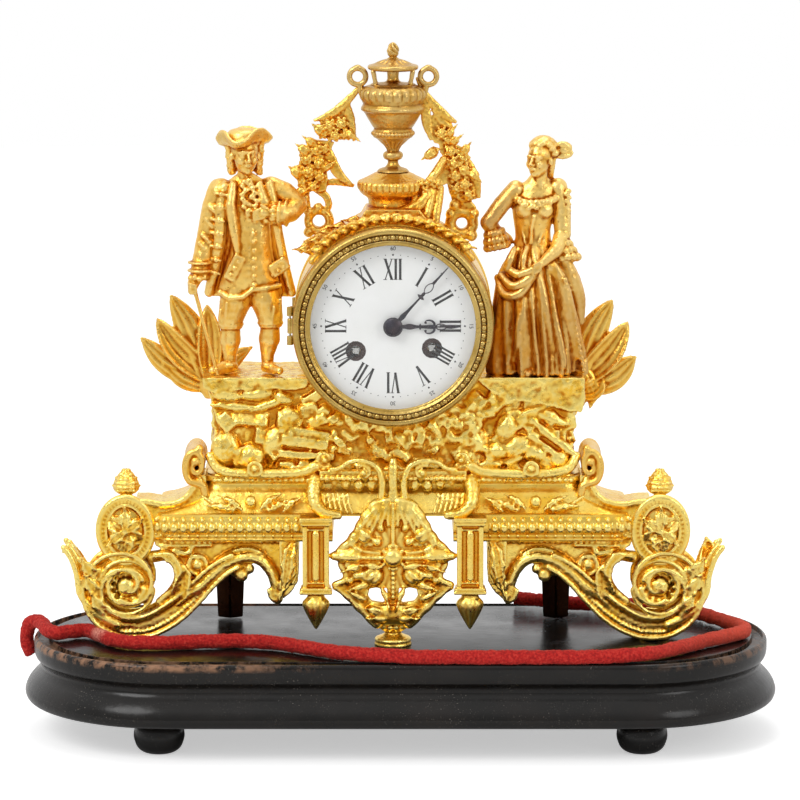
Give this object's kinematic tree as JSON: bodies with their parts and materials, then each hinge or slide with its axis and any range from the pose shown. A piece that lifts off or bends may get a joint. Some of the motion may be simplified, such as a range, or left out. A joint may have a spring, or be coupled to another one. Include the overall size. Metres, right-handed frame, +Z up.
{
  "type": "mantel clock",
  "caption": "Gilt figural mantel clock with a gentleman, a lady and an urn around a round drum movement, on an ebonised oval wood base with a loose red cord.",
  "frame": {"origin": "bottom centre of the wood base's four feet", "axes": "+Z up, +X to the viewer's right along the base's length, the dial faces -Y"},
  "size_m": [0.4082, 0.162, 0.3715],
  "materials": {
    "gilt": "fire-gilt, bright with darker hollows",
    "bezel_brass": "satin brass, a little browner than the case",
    "dark_metal": "dull and nearly black",
    "ebonised_wood": "black polish, worn at the groove",
    "red_chenille": "dense short pile",
    "white_enamel": "glossy white fired enamel",
    "glass": "clear",
    "blued_steel": "blued nearly black",
    "movement_brass": "satin",
    "steel": "polished"
  },
  "bodies": {
    "clock": {"wood_base": "ebonised_wood", "bun_foot_front_left": "ebonised_wood", "bun_foot_front_right": "ebonised_wood", "bun_foot_rear_left": "ebonised_wood", "bun_foot_rear_right": "ebonised_wood", "chenille_cord": "red_chenille", "plinth_casting": "gilt", "apron_cartouche": "gilt", "centre_foot": "gilt", "pilaster_left": "gilt", "pilaster_right": "gilt", "scroll_leg_left": "gilt", "scroll_leg_right": "gilt", "disc_foot_left": "gilt", "disc_foot_right": "gilt", "pine_finial_left": "gilt", "pine_finial_right": "gilt", "rock_mound": "gilt", "leaf_spray_left": "gilt", "leaf_spray_right": "gilt", "gentleman": "gilt", "cane": "gilt", "lady": "gilt", "garland_left": "gilt", "garland_right": "gilt", "urn_pedestal": "gilt", "urn": "gilt", "urn_lid": "gilt", "drum_case": "gilt", "rear_leg_left": "dark_metal", "rear_leg_right": "dark_metal", "bezel_seat": "bezel_brass", "dial": "white_enamel", "front_plate": "movement_brass", "back_plate": "movement_brass", "bell": "movement_brass", "suspension_cock": "movement_brass"},
    "bezel": {"bezel": "bezel_brass", "bezel_glass": "glass", "bezel_hinge_pin": "steel"},
    "back_door": {"back_door": "bezel_brass"},
    "minute": {"centre_wheel": "movement_brass", "cannon_pinion": "steel", "minute_hand": "blued_steel", "hand_boss": "blued_steel"},
    "minute_wheel_body": {"minute_wheel": "movement_brass"},
    "hour": {"hour_wheel": "movement_brass", "hour_hand": "blued_steel"},
    "second": {"second_wheel": "movement_brass"},
    "going_barrel_body": {"going_barrel": "movement_brass"},
    "third": {"third_wheel": "movement_brass"},
    "escape": {"escape_wheel": "movement_brass"},
    "anchor_body": {"anchor": "steel"},
    "pendulum_body": {"pendulum": "movement_brass"},
    "going_arbor": {"going_winding_arbor": "steel"},
    "strike_barrel_body": {"strike_barrel": "movement_brass"},
    "strike": {"strike_wheel": "movement_brass"},
    "strike_arbor": {"strike_winding_arbor": "steel"},
    "hammer_body": {"hammer": "steel"},
    "fly_body": {"fly": "movement_brass"}
  },
  "joints": [
    {"name": "bezel_hinge", "type": "hinge", "parent": "clock", "child": "bezel", "pos_m": [-0.05795, -0.0346, 0.225], "axis": [0, 0, -1], "range_deg": [0, 100]},
    {"name": "back_door_hinge", "type": "hinge", "parent": "clock", "child": "back_door", "pos_m": [-0.0569, 0.0353, 0.225], "axis": [0, 0, 1], "range_deg": [0, 110]},
    {"name": "minute_arbor", "type": "hinge", "parent": "clock", "child": "minute", "pos_m": [-0.004, 0, 0.225], "axis": [0, 1, 0], "continuous": true},
    {"name": "hour_pipe", "type": "hinge", "parent": "clock", "child": "hour", "pos_m": [-0.004, 0, 0.225], "axis": [0, 1, 0], "continuous": true},
    {"name": "minute_wheel_post", "type": "hinge", "parent": "clock", "child": "minute_wheel_body", "pos_m": [-0.00365, 0, 0.21601], "axis": [0, 1, 0], "continuous": true},
    {"name": "second_arbor", "type": "hinge", "parent": "clock", "child": "second", "pos_m": [-0.01622, 0, 0.23292], "axis": [0, 1, 0], "continuous": true},
    {"name": "going_barrel_turn", "type": "hinge", "parent": "clock", "child": "going_barrel_body", "pos_m": [-0.02351, 0, 0.21174], "axis": [0, 1, 0], "continuous": true},
    {"name": "third_arbor", "type": "hinge", "parent": "clock", "child": "third", "pos_m": [0.00235, 0, 0.23664], "axis": [0, 1, 0], "continuous": true},
    {"name": "escape_arbor", "type": "hinge", "parent": "clock", "child": "escape", "pos_m": [-0.00483, 0, 0.24648], "axis": [0, 1, 0], "continuous": true},
    {"name": "pendulum_swing", "type": "hinge", "parent": "clock", "child": "pendulum_body", "pos_m": [-0.00527, 0, 0.25798], "axis": [0, 1, 0], "range_deg": [-3, 3]},
    {"name": "anchor_rock", "type": "hinge", "parent": "clock", "child": "anchor_body", "pos_m": [-0.00527, 0, 0.25798], "axis": [0, 1, 0], "range_deg": [-3, 3]},
    {"name": "going_winding", "type": "hinge", "parent": "clock", "child": "going_arbor", "pos_m": [-0.02351, 0, 0.21174], "axis": [0, 1, 0], "continuous": true},
    {"name": "strike_barrel_turn", "type": "hinge", "parent": "clock", "child": "strike_barrel_body", "pos_m": [0.01647, 0, 0.21328], "axis": [0, 1, 0], "continuous": true},
    {"name": "strike_wheel_turn", "type": "hinge", "parent": "clock", "child": "strike", "pos_m": [0.01561, 0, 0.23566], "axis": [0, 1, 0], "continuous": true},
    {"name": "strike_winding", "type": "hinge", "parent": "clock", "child": "strike_arbor", "pos_m": [0.01647, 0, 0.21328], "axis": [0, 1, 0], "continuous": true},
    {"name": "fly_turn", "type": "hinge", "parent": "clock", "child": "fly_body", "pos_m": [0.01895, 0, 0.2529], "axis": [0, 1, 0], "continuous": true},
    {"name": "hammer_lift", "type": "hinge", "parent": "clock", "child": "hammer_body", "pos_m": [-0.03451, 0, 0.23784], "axis": [0, 1, 0], "range_deg": [0, 20], "stiffness_Nm_per_rad": 0.02}
  ],
  "couplings": [
    {"joint": "hour_pipe", "follows": "minute_arbor", "ratio": 0.083333},
    {"joint": "minute_wheel_post", "follows": "minute_arbor", "ratio": -0.33333},
    {"joint": "second_arbor", "follows": "minute_arbor", "ratio": -0.16667},
    {"joint": "going_barrel_turn", "follows": "minute_arbor", "ratio": 0.027778},
    {"joint": "third_arbor", "follows": "minute_arbor", "ratio": -12},
    {"joint": "escape_arbor", "follows": "minute_arbor", "ratio": 162},
    {"joint": "strike_wheel_turn", "follows": "strike_barrel_turn", "ratio": -6},
    {"joint": "anchor_rock", "follows": "pendulum_swing", "ratio": 1}
  ]
}
